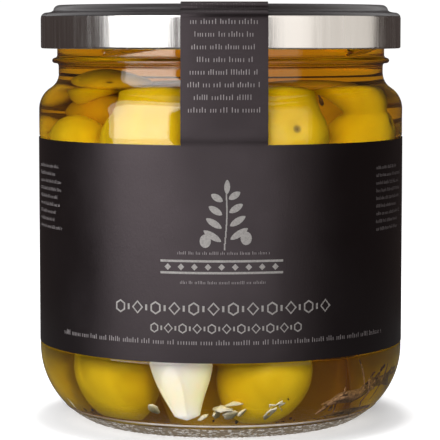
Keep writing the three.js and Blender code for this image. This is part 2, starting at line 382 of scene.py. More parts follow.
def base_line_material():
    """The line where the mould's base plate meets the heel, painted pale as a highlight, with painted shade
    that dims it towards the sides.
    """
    g = Graph("jar_glass_base_line")
    wear_and_glint = g.noise(300.0, 3.0)
    # Painted highlight: the pale colour of the line, uneven along it.
    bright = g.ramp(wear_and_glint, (0.3, (0.80, 0.72, 0.62)), (0.6, (0.97, 0.92, 0.85)))
    split = g.add("ShaderNodeSeparateXYZ")
    g.link(g.coords, split.inputs[0])
    aside = g.math("ABSOLUTE", split.outputs["X"])
    # Painted shade: the line dims once it lies more than about 15 to 24 mm sideways from the jar's middle.
    painted_side_shade = g.ramp(aside, (0.015, (1.0, 1.0, 1.0)), (0.024, (0.40, 0.33, 0.26)))
    g.colour(g.mix(1.0, bright, painted_side_shade, "MULTIPLY"))
    g.set(IOR=GLASS_IOR, Roughness=0.2, Transmission_Weight=0.5)
    g.normal(g.bump(wear_and_glint, 0.2, 0.0004))
    return g.material


def glass_zone(face):
    """Which of the jar's materials a face takes: 0 clear, 1 wetted by oil, 2 stippled, 3 base line."""
    middle = face.center / MM
    flat = hypot(middle.x, middle.y)
    inner = face.normal.x * middle.x + face.normal.y * middle.y < 0 or middle.z < 6 and face.normal.z > 0
    if inner and 4 < middle.z < OIL_LEVEL and flat < 40.5:
        return 1
    if middle.z < STIPPLE_TOP_Z and flat > 27.6:
        return 2
    return 3 if not inner and abs(middle.z - BASE_LINE_Z) < BASE_LINE_HALF and flat > 30 else 0


def make_glass():
    rim = arc(NECK_R - WALL + RIM_ROUND, MOUTH_Z - RIM_ROUND, RIM_ROUND, 90, 180, 5)
    hollow = jar_hollow(0.0, MOUTH_Z - RIM_ROUND - 0.1)
    kinds = (clear_glass("jar_glass", 0.10), clear_glass("jar_glass_wetted", 0.05, Specular_IOR_Level=0.0))
    kinds += (foot_material(), base_line_material())
    jar = lathe("jar_glass", jar_wall() + rim + hollow, 360, *kinds, shape=glass_shape)
    for face in jar.data.polygons:
        face.material_index = glass_zone(face)
    return jar


# ---- oil ----

OIL_IOR = 1.47
OIL_TINT = (0.982, 0.912, 0.03, 1)
OIL_DENSITY = 215.0
# How far the oil reaches into the wall, and how far it creeps up the wall above its level.
OIL_OVERLAP, OIL_CREEP = 0.15, 0.45


def oil_material():
    g = Graph("olive_oil")
    g.set(Base_Color=(1.0, 0.985, 0.93, 1), Roughness=0.0, IOR=OIL_IOR, Transmission_Weight=1.0)
    g.set(Specular_IOR_Level=0.0)
    wave = g.noise(30.0, 1.0, 0.4)
    g.normal(g.bump(wave, 0.04, 0.001))
    volume = g.add("ShaderNodeVolumeAbsorption", Color=OIL_TINT, Density=OIL_DENSITY)
    g.link(volume.outputs[0], g.output.inputs["Volume"])
    return g.material


def make_oil():
    outline = jar_hollow(-OIL_OVERLAP, OIL_LEVEL + OIL_CREEP)
    surface = [(0.0, OIL_LEVEL), (20.0, OIL_LEVEL), (32.0, OIL_LEVEL), (34.6, OIL_LEVEL + 0.1)]
    return lathe("olive_oil", surface + outline, 240, oil_material())


# ---- lid ----

LID_LEDGE = 96.15
CORNER_R = 1.4
RING_R, RING_Z, RING_ROUND = 38.1, 96.5, 1.4
LACQUER_START, LACQUER_LIFT, LACQUER_SINK = 95.2, 0.05, 0.06
LID_SEGMENTS = 300


def lid_outside():
    """The lid's outer profile from the bottom curl to the middle of the panel."""
    points = [(41.6, 88.2), (41.72, 87.98), (41.95, 87.84), (42.2, 87.84), (42.4, 87.95), (42.49, 88.15)]
    points += [(42.5, 88.4), (42.5, 89.4), (42.5, 91.0), (42.5, 93.0)]
    points += arc(LID_R - CORNER_R, LID_LEDGE - CORNER_R, CORNER_R, 0, 78, 10)
    points += [(40.5, 96.22), (39.95, 96.35)]
    points += arc(RING_R, RING_Z, RING_ROUND, 8, 90, 10)
    points += [(37.0, 97.9), (36.4, 97.8), (35.9, 97.5), (35.4, 97.15), (34.8, 97.02), (33.0, 97.0)]
    points += [(24.0, 97.02), (15.0, 97.0), (14.2, 96.97), (13.4, 96.8), (12.8, 96.62), (12.0, 96.6)]
    points += [(6.0, 96.62), (0.0, 96.62)]
    return points


def lid_inside():
    """The lid's inner profile from the middle, round the seal, back to the curl."""
    points = [(0.0, 96.2), (33.0, 96.2), (34.4, 95.9), (35.0, 95.0), (38.9, 95.0), (40.4, 95.6)]
    points += arc(41.1, LID_LEDGE - 1.6, 0.95, 70, 0, 5)
    points += [(42.1, 93.0), (42.1, 91.0), (42.05, 89.6), (41.9, 89.1), (41.7, 88.7)]
    return points


def metal_material():
    g = Graph("lid_metal")
    g.set(Metallic=1.0, Anisotropic=0.0)
    streaks = g.noise(900.0, 2.0, 0.6, g.scaled((1, 1, 0.035)))
    scratches = g.noise(260.0, 4.0, 0.7, g.scaled((1, 1, 0.12)))
    cloud = g.noise(40.0, 2.0)
    g.colour(g.ramp(g.mix(0.5, streaks, cloud), (0.3, (0.78, 0.76, 0.74)), (0.7, (0.88, 0.87, 0.85))))
    g.rough(g.ramp(streaks, (0.25, 0.16), (0.75, 0.30)))
    first = g.bump(streaks, 0.05, 0.0003)
    g.normal(g.bump(scratches, 0.06, 0.0004, first))
    return g.material


def lacquer_material():
    g = Graph("lid_lacquer")
    peel = g.noise(700.0, 2.0, 0.5)
    wear = g.noise(120.0, 4.0, 0.6)
    g.colour(g.ramp(wear, (0.3, (0.022, 0.018, 0.020)), (0.75, (0.034, 0.029, 0.031))))
    g.rough(g.ramp(wear, (0.3, 0.34), (0.7, 0.44)))
    g.set(Specular_IOR_Level=0.5)
    g.normal(g.bump(peel, 0.06, 0.0003))
    return g.material


def make_lid():
    outside = lid_outside()
    shell = lathe("lid_shell", outside + lid_inside(), LID_SEGMENTS, metal_material())
    sharp_by_angle(shell, 50)
    coat = [(r, z) for r, z in outside if z >= LACQUER_START]
    first = [(coat[0][0] - 0.02, coat[0][1] - LACQUER_SINK)]
    lifted = zip(coat, normals(coat))
    outer = [(max(r + LACQUER_LIFT * nr, 0.0), z + LACQUER_LIFT * nz) for (r, z), (nr, nz) in lifted]
    outer[-1] = (0.0, outer[-1][1])
    under = [(max(r - LACQUER_SINK, 0.0), z - LACQUER_SINK) for r, z in coat][::-1]
    top = lathe("lid_top_coat", first + outer + under[:-1], LID_SEGMENTS, lacquer_material())
    return shell, top


# ---- label ----

LABEL_IN_R, LABEL_OUT_R = 42.84, 43.1
BACK_GAP_HALF = 4.5
STRIP_CENTRE, STRIP_HALF = 0.8, 9.6
WRAP_THICK, STRIP_THICK, INK_LIFT = 0.26, 0.25, 0.015


def paper_material():
    g = Graph("label_paper")
    fibre = g.noise(2600.0, 4.0, 0.65, g.scaled((1, 1, 0.6)))
    cloud = g.noise(60.0, 3.0, 0.6)
    speck = g.voronoi(900.0)
    ink = g.mix(g.math("MULTIPLY", fibre, 0.6), (0.0034, 0.0027, 0.0030), (0.0105, 0.0082, 0.0092))
    g.colour(g.mix(g.ramp(speck, (0.0, 0.4), (0.12, 0.0)), ink, (0.035, 0.030, 0.032)))
    g.rough(g.ramp(cloud, (0.3, 0.31), (0.7, 0.41)))
    g.set(Specular_IOR_Level=0.95, Specular_Tint=(1.0, 0.83, 0.89, 1))
    first = g.bump(fibre, 0.22, 0.00012)
    g.normal(g.bump(cloud, 0.05, 0.001, first))
    return g.material


def fibre_material(name, fibre_scale, low, high, roughness):
    """Dull paper or ink in a colour between two, with the paper's fibre."""
    g = Graph(name)
    fibre = g.noise(fibre_scale, 4.0, 0.65)
    g.colour(g.ramp(fibre, (0.25, low), (0.6, high)))
    g.set(Roughness=roughness)
    g.normal(g.bump(fibre, 0.2, 0.0001))
    return g.material


def wrap_point(x, z, out):
    """A point on the wrap at arc length x from the front's middle, lifted by out from the paper's back."""
    a = x / LABEL_OUT_R
    r = LABEL_IN_R + out
    return (r * sin(a), -r * cos(a), z)


def strip_profile():
    """The strip's path from the wrap's top edge, up over the neck and the lid, to its end on the panel."""
    path = [(LABEL_IN_R, LABEL_HIGH - 1), (42.86, LABEL_HIGH), (42.98, 67.7), (43.1, 68.6), (43.15, 70.0)]
    path += [(43.12, 72.0), (43.08, 74.0), (43.0, 77.0), (42.92, 80.0), (42.85, 83.0), (42.8, 86.0)]
    path += [(42.76, 88.0), (42.74, 89.5), (42.72, 92.0)]
    path += arc(LID_R - CORNER_R, LID_LEDGE - CORNER_R, CORNER_R + 0.2, 0, 78, 10)
    path += [(40.55, 96.45), (40.0, 96.6)]
    path += arc(RING_R, RING_Z, RING_ROUND + 0.22, 12, 90, 10)
    path += [(37.0, 98.1), (36.3, 97.95), (35.6, 97.6), (34.6, 97.3), (33.0, 97.18), (28.0, 97.16)]
    path += [(22.4, 97.16)]
    return list(zip(path, normals(path)))


def resample(path, step):
    """Adds points along a path of ((r, z), (nr, nz)) so that none are further apart than step."""
    out = [path[0]]
    for (p, n), (q, m) in zip(path, path[1:]):
        count = max(1, ceil(hypot(q[0] - p[0], q[1] - p[1]) / step))
        for i in range(1, count + 1):
            t = i / count
            point = (p[0] + (q[0] - p[0]) * t, p[1] + (q[1] - p[1]) * t)
            normal = (n[0] + (m[0] - n[0]) * t, n[1] + (m[1] - n[1]) * t)
            size = hypot(*normal)
            out.append((point, (normal[0] / size, normal[1] / size)))
    return out


STRIP_PATH = resample(strip_profile(), 1.0)
STRIP_RUN = [0.0]
for (p, _), (q, _) in zip(STRIP_PATH, STRIP_PATH[1:]):
    STRIP_RUN.append(STRIP_RUN[-1] + hypot(q[0] - p[0], q[1] - p[1]))


def strip_point(x, run, out):
    """A point on the strip at offset x and distance run from its start, lifted by out from its back."""
    run = min(max(run, 0.0), STRIP_RUN[-1])
    i = max(1, next((k for k, s in enumerate(STRIP_RUN) if s >= run), len(STRIP_RUN) - 1))
    t = (run - STRIP_RUN[i - 1]) / (STRIP_RUN[i] - STRIP_RUN[i - 1])
    (p, n), (q, m) = STRIP_PATH[i - 1], STRIP_PATH[i]
    nr, nz = n[0] + (m[0] - n[0]) * t, n[1] + (m[1] - n[1]) * t
    r = p[0] + (q[0] - p[0]) * t + nr * out
    z = p[1] + (q[1] - p[1]) * t + nz * out
    return (x, -sqrt(max(r * r - x * x, 0.0)), z)


def sheet(columns, rows, place, thick):
    """Vertices and faces of a thin closed sheet, and how many of its first faces are front and back."""
    verts, faces = [], []
    nx, ny = len(columns), len(rows)
    for out in (thick, 0.0):
        verts += [place(x, y, out) for y in rows for x in columns]
    back = nx * ny

    def at(i, j, side):
        return side * back + j * nx + i

    for j in range(ny - 1):
        for i in range(nx - 1):
            faces.append((at(i, j, 0), at(i + 1, j, 0), at(i + 1, j + 1, 0), at(i, j + 1, 0)))
            faces.append((at(i, j, 1), at(i, j + 1, 1), at(i + 1, j + 1, 1), at(i + 1, j, 1)))
    broad = len(faces)
    for i in range(nx - 1):
        faces.append((at(i, 0, 1), at(i + 1, 0, 1), at(i + 1, 0, 0), at(i, 0, 0)))
        faces.append((at(i, ny - 1, 0), at(i + 1, ny - 1, 0), at(i + 1, ny - 1, 1), at(i, ny - 1, 1)))
    for j in range(ny - 1):
        faces.append((at(0, j, 0), at(0, j + 1, 0), at(0, j + 1, 1), at(0, j, 1)))
        faces.append((at(nx - 1, j, 1), at(nx - 1, j + 1, 1), at(nx - 1, j + 1, 0), at(nx - 1, j, 0)))
    return verts, faces, broad


def make_label():
    """The wrap and the strip in one mesh, with the paler core of the paper on the strip's cut edges."""
    half = pi * LABEL_OUT_R - BACK_GAP_HALF
    heights = spread(LABEL_LOW, LABEL_HIGH, 16)
    verts, faces, _ = sheet(spread(-half, half, 220), heights, wrap_point, WRAP_THICK)
    columns = [STRIP_CENTRE + x for x in spread(-STRIP_HALF, STRIP_HALF, 14)]
    strip_verts, strip_faces, broad = sheet(columns, STRIP_RUN, strip_point, STRIP_THICK)
    core = fibre_material("label_paper_edge", 3000.0, (0.34, 0.31, 0.31), (0.5, 0.47, 0.46), 0.8)
    start, first_edge = len(verts), len(faces) + broad
    verts += strip_verts
    faces += [tuple(start + k for k in f) for f in strip_faces]
    label = new_object("paper_label", verts, faces, paper_material(), core)
    for i, face in enumerate(label.data.polygons):
        face.material_index = 1 if i >= first_edge else 0
    sharp_by_angle(label, 40)
    return label


class Print:
    """Flat shapes of ink laid on the label's face, in one mesh."""

    def __init__(self, name):
        self.name, self.verts, self.faces = name, [], []

    def patch(self, outline):
        """Fills an outline of (x, y) on the wrap as a fan round its middle."""
        start = len(self.verts)
        cx = sum(x for x, _ in outline) / len(outline)
        cy = sum(y for _, y in outline) / len(outline)
        self.verts.append(on_wrap(cx, cy))
        self.verts += [on_wrap(x, y) for x, y in outline]
        count = len(outline)
        self.faces += [(start, start + 1 + i, start + 1 + (i + 1) % count) for i in range(count)]

    def bar(self, x0, x1, y0, y1, place):
        steps = max(1, ceil((x1 - x0) / 1.2))
        start = len(self.verts)
        for x in spread(x0, x1, steps):
            self.verts += [place(x, y0), place(x, y1)]
        self.faces += [(i, i + 2, i + 3, i + 1) for i in range(start, start + 2 * steps, 2)]

    def make(self, low, high):
        """The piece, in an ink that varies between two colours."""
        ink = fibre_material(self.name, 2400.0, low, high, 0.6)
        return new_object(self.name, self.verts, self.faces, ink)


def on_wrap(x, z):
    return wrap_point(x, z, WRAP_THICK + INK_LIFT)


def on_strip(x, run):
    return strip_point(x, run, STRIP_THICK + INK_LIFT)


def stroke_row(ink, rng, x0, x1, y, height, place):
    """A row of short upright strokes in uneven groups, standing for fine print."""
    x = x0
    while x < x1:
        for _ in range(rng.randrange(3, 9)):
            tall = height * rng.choice((0.7, 0.7, 1.0))
            ink.bar(x, x + 0.17 * height, y, y + tall, place)
            x += height * rng.uniform(0.42, 0.6)
            if x > x1:
                break
        x += 0.45 * height


def outline_shape(ink, cx, cy, width, height, corners, line):
    """A thin closed outline on the wrap with the given number of corners, the first on top."""
    angles = [radians(360 * i / corners) for i in range(corners)]
    outer = [(cx + width / 2 * sin(a), cy + height / 2 * cos(a)) for a in angles]
    shrink_x, shrink_y = 1 - 2 * line / width, 1 - 2 * line / height
    inner = [(cx + (x - cx) * shrink_x, cy + (y - cy) * shrink_y) for x, y in outer]
    for i in range(corners):
        j = (i + 1) % corners
        start = len(ink.verts)
        ink.verts += [on_wrap(x, y) for x, y in (outer[i], outer[j], inner[j], inner[i])]
        ink.faces.append((start, start + 3, start + 2, start + 1))


def ornament_row(ink, x0, x1, y, height, line):
    """A border on the wrap of thin outlined hexagons and diamonds with studs between them."""
    pitch = height * 1.42
    stud_wide, stud_high = line * 0.6, height * 0.22
    count = round((x1 - x0) / pitch)
    for i in range(count):
        cx = x0 + (i + 0.5) * (x1 - x0) / count
        outline_shape(ink, cx, y, height * 0.92, height, 4 if i % 2 else 6, line)
        if i < count - 1:
            stud = cx + pitch / 2
            ink.bar(stud - stud_wide, stud + stud_wide, y - stud_high, y + stud_high, on_wrap)


def leaf(ink, cx, cy, length, width, slant):
    """A pointed leaf on the wrap."""
    across, up = cos(radians(slant)), sin(radians(slant))
    outline = []
    for i in range(16):
        t = 2 * pi * i / 16
        x, y = 0.5 * length * cos(t), 0.5 * width * sin(t) * abs(sin(t)) ** 0.4
        outline.append((cx + x * across - y * up, cy + x * up + y * across))
    ink.patch(outline)


def make_print():
    """The bright ink: an olive sprig, a band of diamonds between two bars, and two ornament rows."""
    ink = Print("label_print")
    for t in spread(0.0, 1.0, 8):
        sway = 0.9 + 0.5 * sin(2.2 * t)
        ink.bar(sway - 0.2, sway + 0.1, 44.0 + 11.0 * t, 45.5 + 11.0 * t, on_wrap)
    for i in range(4):
        height, reach = 46.0 + 2.8 * i, 4.6 - 0.55 * i
        leaf(ink, 1.0 - reach * 0.62, height + 1.1, reach, 1.5, 148)
        leaf(ink, 1.2 + reach * 0.62, height + 1.6, reach, 1.5, 32)
    leaf(ink, 1.4, 57.9, 3.2, 1.3, 88)
    for cx, cy in ((-3.4, 46.0), (5.6, 46.6)):
        turns = spread(0, 2 * pi * 15 / 16, 15)
        ink.patch([(cx + 1.25 * cos(a), cy + 1.5 * sin(a)) for a in turns])
    for low, high in ((38.7, 39.2), (41.3, 41.8)):
        ink.bar(-13.5, 14.0, low, high, on_wrap)
    for cx in spread(-11.8, 12.2, 8):
        ink.patch([(cx + x, 40.25 + y) for x, y in ((0.75, 0), (0, 0.75), (-0.75, 0), (0, -0.75))])
    ornament_row(ink, -25.6, 26.8, 31.0, 3.0, 0.4)
    ornament_row(ink, -16.6, 19.2, 26.6, 2.3, 0.32)
    return ink.make((0.42, 0.40, 0.39), (0.66, 0.64, 0.62))


def make_fine_print():
    """Rows of small strokes in greyer ink: round the sprig, along the label's foot, at its sides and on the
    strip."""
    rng = random.Random(12)
    ink = Print("label_fine_print")
    stroke_row(ink, rng, -9.6, 11.0, 43.0, 0.7, on_wrap)
    stroke_row(ink, rng, -9.0, 10.4, 36.5, 0.7, on_wrap)
    stroke_row(ink, rng, -42.0, 44.0, 23.0, 1.1, on_wrap)
    for side, first, rows in ((-1, 49.0, 9), (1, 50.0, 9), (-1, 80.0, 11), (1, 82.0, 8)):
        for k in range(rows):
            x0 = side * first - 8.5
            stroke_row(ink, rng, x0, x0 + rng.uniform(10.5, 15.0), 60.6 - 1.75 * k, 0.8, on_wrap)
    for k in range(11):
        half = rng.uniform(5.8, 8.2)
        low, high = STRIP_CENTRE - half, STRIP_CENTRE + half
        stroke_row(ink, rng, low, high, 8.2 + 2.75 * k, 1.15, on_strip)
    return ink.make((0.34, 0.31, 0.32), (0.55, 0.51, 0.52))


# ---- olives ----

OLIVE_R, OLIVE_HALF = 9.15, 10.2
# Olives that show clearly: azimuth, distance of the centre from the axis, height, the direction of the
# stem end as (turn about the upright, lift), width and length as shares of the usual ones.
SHOWN_OLIVES = [
    (-44.5, 29.6, 15.6, (-75, -25), 1.06, 1.03),
    (17.5, 30.2, 15.4, (60, 35), 1.03, 1.02),
    (-28.0, 30.0, 67.2, (95, 5), 1.06, 1.12),
    (-67.5, 30.2, 63.1, (-140, 20), 1.02, 1.02),
    (24.8, 30.4, 67.4, (-0.5, 18.5), 1.07, 1.0),
    (71.5, 27.0, 64.2, (25, 36), 0.99, 1.14),
    (-80.0, 20.0, 75.4, (70, 10), 0.87, 0.9),
]
# The others, ring by ring: distance of the centres from the axis, height and azimuths.
OLIVE_RINGS = [
    (30.2, 15.6, [-84, -121, -158, 165, 128, 99]),
    (30.6, 32.2, [-62, -26, 9, 44, 80, 116, 150, -172, -136, -99]),
    (30.6, 49.4, [-45, -9, 28, 64, 99, 134, 168, -154, -118, -82]),
    (28.6, 58.0, [-106, -142, -178, 146, 110]),
    (11.5, 14.6, [-10, 110, 230]),
    (12.0, 31.8, [50, 170, 290]),
    (12.0, 49.0, [-10, 110, 230]),
    (12.4, 61.0, [50, 170]),
    (14.0, 67.5, [170, 110]),
]
# Where the centres may go: most distance of an olive's skin from the axis, in the heel and above it, least
# height of the skin, and most height of the centre.
HEEL_REACH, WALL_REACH, HEEL_HIGH_Z = 39.6, 40.1, 15.5
FLOOR_CLEAR_Z, TOP_CENTRE_Z = 5.2, 67.5
SETTLE_ROUNDS, OLIVE_SPACING = 160, 1.005


def olive_shape(u, v, seed, width, length):
    """A point of one olive from its poles' angle u and turn v, with its dimple, lumps and blunt tip."""
    along, around = cos(u), sin(u)
    r = OLIVE_R * width
    fat = 1.0 + 0.035 * along - 0.03 * along * along
    x = r * around * fat * cos(v)
    y = r * around * fat * sin(v)
    z = OLIVE_HALF * length * along
    # The stem's dimple, in a shallow hollow, and at the other pole a small point.
    for angle, depth, reach in ((u, 0.9, 0.16), (u, 0.25, 0.42), (pi - u, 0.35, 0.10)):
        z -= depth * exp(-((angle / reach) ** 2))
    spot = Vector((x, y, z)) * 0.11 + Vector((seed * 3.7, seed * 1.3, 0))
    grow = 1.0 + (0.26 * noise.noise(spot) + 0.07 * noise.noise(spot * 3.1)) / r
    return Vector((x, y, z)) * grow


def olive_places():
    """[centre, stem direction, width, length, shown] of every olive: the shown ones, then the others."""
    rng = random.Random(5)
    places = []
    for azimuth, reach, z, (turn, lift), width, length in SHOWN_OLIVES:
        lift = radians(lift)
        stem = at(azimuth + turn, cos(lift), sin(lift))
        places.append([at(azimuth, reach, z), stem, width, length, True])
    for reach, z, azimuths in OLIVE_RINGS:
        for azimuth in azimuths:
            centre = at(azimuth + rng.uniform(-2, 2), reach, z + rng.uniform(-1, 1))
            stem = Vector((rng.gauss(0, 1), rng.gauss(0, 1), rng.gauss(0, 0.7))).normalized()
            places.append([centre, stem, rng.uniform(0.94, 1.04), rng.uniform(0.95, 1.05), False])
    for _ in range(SETTLE_ROUNDS):
        push_apart(places)
        for place in places:
            if not place[4]:
                keep_inside(place[0], OLIVE_R * place[2])
    return places


def push_apart(places):
    """Moves each two overlapping olives apart. A shown one doesn't make way for one that isn't shown."""
    for i, one in enumerate(places):
        for other in places[:i]:
            reach = OLIVE_R * (one[2] + other[2]) * OLIVE_SPACING
            away = one[0] - other[0]
            gap = away.length
            if gap >= reach or gap < 1e-6:
                continue
            push = away * (0.5 * (reach - gap) / gap)
            if one[4] == other[4]:
                one[0], other[0] = one[0] + push, other[0] - push
            elif other[4]:
                one[0] = one[0] + push * 2
            else:
                other[0] = other[0] - push * 2


def keep_inside(centre, r):
    """Moves a centre so that an olive of radius r stays inside the jar."""
    centre.z = max(centre.z, FLOOR_CLEAR_Z + r)
    most = (HEEL_REACH if centre.z < HEEL_HIGH_Z else WALL_REACH) - r
    flat = hypot(centre.x, centre.y)
    if flat > most:
        centre.x, centre.y = centre.x * most / flat, centre.y * most / flat
    centre.z = min(centre.z, TOP_CENTRE_Z)


def olive_mesh(verts, faces, marks, place, seed, rows, turns):
    """Adds one olive, and for each vertex a mark of (the olive's tint, its angle from the stem, 0, 1)."""
    centre, stem, width, length, _ = place
    to_stem = stem.to_track_quat("Z", "Y").to_matrix()
    start = len(verts)
    rings = []
    for i, u in enumerate(spread(0.0, pi, rows)):
        rings.append([])
        for j in range(1 if i in (0, rows) else turns):
            rings[-1].append(len(verts))
            point = olive_shape(u, 2 * pi * j / turns, seed, width, length)
            verts.append(tuple(centre + to_stem @ point))
    for low, high in zip(rings, rings[1:]):
        faces += ring_faces(low, high)
    tint = random.Random(seed * 7 + 1).random()
    for vert in verts[start:]:
        here = Vector(vert) - centre
        along = max(-1.0, min(1.0, here.dot(stem) / here.length))
        marks.append((tint, acos(along) / pi, 0.0, 1.0))


def skin_material():
    g = Graph("olive_skin")
    marks = g.add("ShaderNodeVertexColor", layer_name="olive_marks")
    parts = g.add("ShaderNodeSeparateColor")
    g.link(marks.outputs["Color"], parts.inputs["Color"])
    tint, along = parts.outputs[0], parts.outputs[1]
    cloud = g.noise(110.0, 4.0, 0.55)
    patch = g.noise(45.0, 2.0, 0.5)
    pores = g.voronoi(1150.0)
    dull, usual, bright = (0.66, 0.415, 0.003), (0.76, 0.475, 0.005), (0.82, 0.525, 0.008)
    greens = g.ramp(tint, (0.0, dull), (0.5, usual), (1.0, bright))
    body = g.mix(g.ramp(cloud, (0.35, 0.0), (0.7, 0.5)), greens, (0.88, 0.61, 0.018))
    body = g.mix(g.ramp(patch, (0.52, 0.0), (0.72, 0.35)), body, (0.56, 0.335, 0.003))
    body = g.mix(g.ramp(pores, (0.06, 0.35), (0.16, 0.0)), body, (0.90, 0.72, 0.06))
    stem = g.ramp(along, (0.0, 0.95), (0.016, 0.75), (0.042, 0.0), ease="EASE")
    g.colour(g.mix(stem, body, (0.13, 0.07, 0.006)))
    g.rough(g.ramp(cloud, (0.3, 0.30), (0.7, 0.42)))
    g.set(Specular_IOR_Level=0.06)
    g.set(Subsurface_Weight=0.35, Subsurface_Scale=0.0025, Subsurface_Radius=(1.0, 0.75, 0.2))
    first = g.bump(g.ramp(pores, (0.0, 0.0), (0.2, 1.0)), 0.06, 0.0003)
    g.normal(g.bump(cloud, 0.08, 0.0012, first))
    return g.material


def make_olives():
    """All olives in one mesh: finest where they show, and coarser in the middle of the heap."""
    verts, faces, marks = [], [], []
    for seed, place in enumerate(olive_places()):
        centre = place[0]
        outer = hypot(centre.x, centre.y) > 22 or centre.z > 60
        rows, turns = (40, 48) if place[4] else ((26, 34) if outer else (16, 22))
        olive_mesh(verts, faces, marks, place, seed, rows, turns)
    olives = closed_object("olives_in_oil", verts, faces, skin_material())
    layer = olives.data.color_attributes.new("olive_marks", "FLOAT_COLOR", "POINT")
    layer.data.foreach_set("color", np.array(marks, np.float32).ravel())
    return olives


# ---- garlic ----


CLOVE_LENGTH, CLOVE_WIDE, CLOVE_DEPTH_SHARE = 23.6, 6.0, 0.58
CLOVE_ROOT, CLOVE_BOW = 2.4, 0.66
CLOVE_AZIMUTH, CLOVE_REACH, CLOVE_FOOT_Z = -12.6, 32.7, 6.3
CLOVE_LEAN_BACK, CLOVE_LEAN_LEFT = 12.5, -4


def garlic_material():
    g = Graph("garlic_flesh")
    fibre = g.noise(420.0, 4.0, 0.6, g.scaled((1, 1, 0.12)))
    cloud = g.noise(90.0, 3.0)
    body = g.ramp(cloud, (0.3, (0.96, 0.88, 0.93)), (0.7, (0.98, 0.92, 0.98)))
    g.colour(g.mix(g.ramp(fibre, (0.55, 0.0), (0.8, 0.3)), body, (0.86, 0.74, 0.62)))
    g.rough(g.ramp(cloud, (0.3, 0.35), (0.7, 0.5)))
    g.set(Specular_IOR_Level=0.06, Subsurface_Weight=0.3, Subsurface_Scale=0.003)
    g.normal(g.bump(fibre, 0.12, 0.0004))
    return g.material


def make_garlic():
    """A peeled clove: narrow root end down, slightly ridged and bowed, with a blunt shoulder on top."""
    rows, turns = 44, 48
    verts = []
    for t in spread(0.0, 1.0, rows):
        bulge = sin(pi * t ** 1.55) ** 0.72 if 0 < t < 1 else 0.0
        root = CLOVE_ROOT * (1 - t) * min(1.0, t / 0.035) if 0 < t < 1 else 0.0
        wide = CLOVE_WIDE * bulge + root
        for j in range(turns):
            a = 2 * pi * j / turns
            ridge = 1 + 0.06 * cos(3 * a + 0.6) + 0.03 * cos(5 * a)
            x = wide * cos(a) * ridge
            y = wide * CLOVE_DEPTH_SHARE * sin(a) * ridge - CLOVE_BOW * sin(pi * t)
            soft = 1 + 0.03 * noise.noise(Vector((x, y, CLOVE_LENGTH * t)) * 0.16)
            verts.append(Vector((x * soft, y * soft, CLOVE_LENGTH * t)))
    spot = Matrix.Translation((0, -CLOVE_REACH, CLOVE_FOOT_Z))
    lean = Matrix.Rotation(radians(CLOVE_LEAN_BACK), 4, "X")
    lean = lean @ Matrix.Rotation(radians(CLOVE_LEAN_LEFT), 4, "Y")
    turn = Matrix.Rotation(radians(CLOVE_AZIMUTH), 4, "Z") @ spot @ lean
    verts = [tuple(turn @ v) for v in verts]
    return closed_object("garlic_clove_peeled", verts, tube_faces(0, rows + 1, turns), garlic_material())


# ---- herbs and spice ----


HERB_WALL_REACH, HERB_HEEL_REACH, HERB_HEEL_Z, HERB_FLOOR_Z = 38.4, 35.0, 9.0, 6.0


def tube(verts, faces, points, radii, sides=8):
    """A closed tube through points, tapering by radii."""
    start = len(verts)
    for i, (p, r) in enumerate(zip(points, radii)):
        ahead = points[min(i + 1, len(points) - 1)] - points[max(i - 1, 0)]
        turn = ahead.to_track_quat("Z", "Y").to_matrix()
        for j in range(sides):
            a = 2 * pi * j / sides
            verts.append(tuple(p + turn @ Vector((r * cos(a), r * sin(a), 0))))
    faces += tube_faces(start, len(points), sides)


def herb_material(name, dark, light, rough=0.5):
    g = Graph(name)
    grain = g.noise(1500.0, 4.0, 0.6)
    g.colour(g.ramp(grain, (0.3, dark), (0.7, light)))
    g.rough(g.ramp(grain, (0.3, rough - 0.1), (0.7, rough + 0.1)))
    g.set(Specular_IOR_Level=0.05)
    g.normal(g.bump(grain, 0.3, 0.0002))
    return g.material


def make_rosemary():
    """A woody twig low on the right with needles along it, and loose needles near the floor and wall."""
    rng = random.Random(21)
    verts, faces = [], []
    path = [at(39 + 5.4 * i, 36.6 - 0.2 * i, 8.6 + 0.62 * i + 0.45 * sin(1.7 * i)) for i in range(9)]
    tube(verts, faces, path, [0.5, 1.2, 1.35, 1.2, 1.3, 1.05, 0.9, 0.7, 0.4])
    for _ in range(26):
        k = rng.randrange(0, 8)
        base = path[k].lerp(path[k + 1], rng.random())
        base += Vector((0, rng.uniform(-0.6, 0.6), rng.uniform(-0.6, 0.6)))
        along = (path[k + 1] - path[k]).normalized() * rng.choice((1, 1, -1))
        aim = (along + Vector((rng.gauss(0, 0.35), rng.gauss(0, 0.35), rng.gauss(0, 0.3)))).normalized()
        needle(verts, faces, rng, base, aim, rng.uniform(3.0, 6.0))
    for azimuth in (41, 55, 66, 78, 95, -62, -95, 150, -150):
        base = at(azimuth + rng.uniform(-3, 3), rng.uniform(28, 35), rng.uniform(6.2, 7.6))
        aim = Vector((rng.uniform(-1, 1), rng.uniform(-1, 1), rng.uniform(-0.15, 0.25))).normalized()
        needle(verts, faces, rng, base, aim, rng.uniform(7, 13))
    for azimuth, z, slant in ((51, 17.2, 0.9), (57, 13.0, 0.5), (70, 15.0, -0.6), (45, 12.0, -0.3)):
        needle(verts, faces, rng, at(azimuth, 38.6, z), Vector((slant, 0.15, -1)).normalized(), 9.0, 0.28)
    wood = herb_material("rosemary_wood", (0.12, 0.055, 0.022), (0.42, 0.23, 0.11))
    return closed_object("rosemary", verts, faces, wood)


